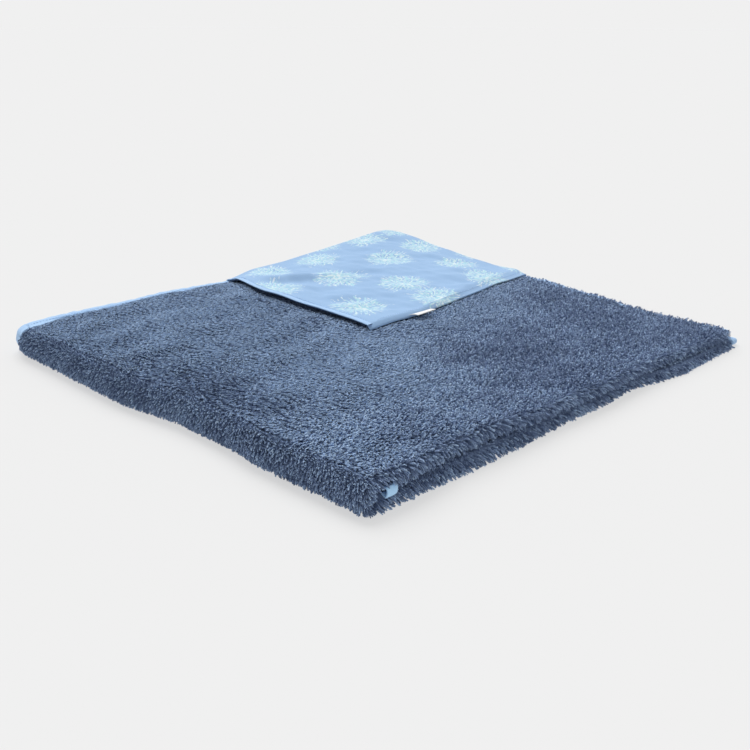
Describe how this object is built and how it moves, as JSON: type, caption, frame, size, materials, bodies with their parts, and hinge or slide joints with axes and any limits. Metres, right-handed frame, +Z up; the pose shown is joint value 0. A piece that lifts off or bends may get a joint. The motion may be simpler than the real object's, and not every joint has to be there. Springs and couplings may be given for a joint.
{
  "type": "hooded baby towel",
  "caption": "Folded hooded baby towel of dark blue terry with a printed light blue hood panel, bound edges, a blank label and a hanging loop.",
  "frame": {"origin": "middle of the folded packet, on its underside", "axes": "+Z up; +X towards the side with the two stacked folds; +Y away from the side with the single thick fold, so the hood is at the corner (-X, +Y)"},
  "size_m": [0.3788, 0.4, 0.0335],
  "materials": {
    "terry": "looped cotton terry pile, dull",
    "binding": "plain cotton jersey tape, dull",
    "printed_jersey": "cotton jersey with a white and aqua print, dull",
    "hood_lining": "short cotton terry pile, dull",
    "label": "woven satin, soft sheen"
  },
  "bodies": {
    "lower_leaf": {"terry_lower_leaf": "terry", "terry_outer_fold": "terry", "terry_inner_fold": "terry", "binding_lower_leaf": "binding", "binding_outer_fold": "binding", "binding_inner_fold": "binding", "hanging_loop": "binding"},
    "upper_leaf": {"terry_upper_leaf": "terry", "binding_upper_leaf": "binding", "hood_lining": "hood_lining", "hood_printed_panel": "printed_jersey", "hood_mouth_binding": "binding"},
    "label": {"woven_label": "label"}
  },
  "joints": [
    {"name": "last_fold", "type": "hinge", "parent": "lower_leaf", "child": "upper_leaf", "pos_m": [0, -0.1895, 0.0105], "axis": [1, 0, 0], "range_deg": [0, 178], "deforming": ["terry_outer_fold", "terry_inner_fold", "binding_outer_fold", "binding_inner_fold"]},
    {"name": "label_flap", "type": "hinge", "parent": "upper_leaf", "child": "label", "pos_m": [0.0128, 0.031, 0.0227], "axis": [0, -1, 0], "range_deg": [0, 75]}
  ]
}
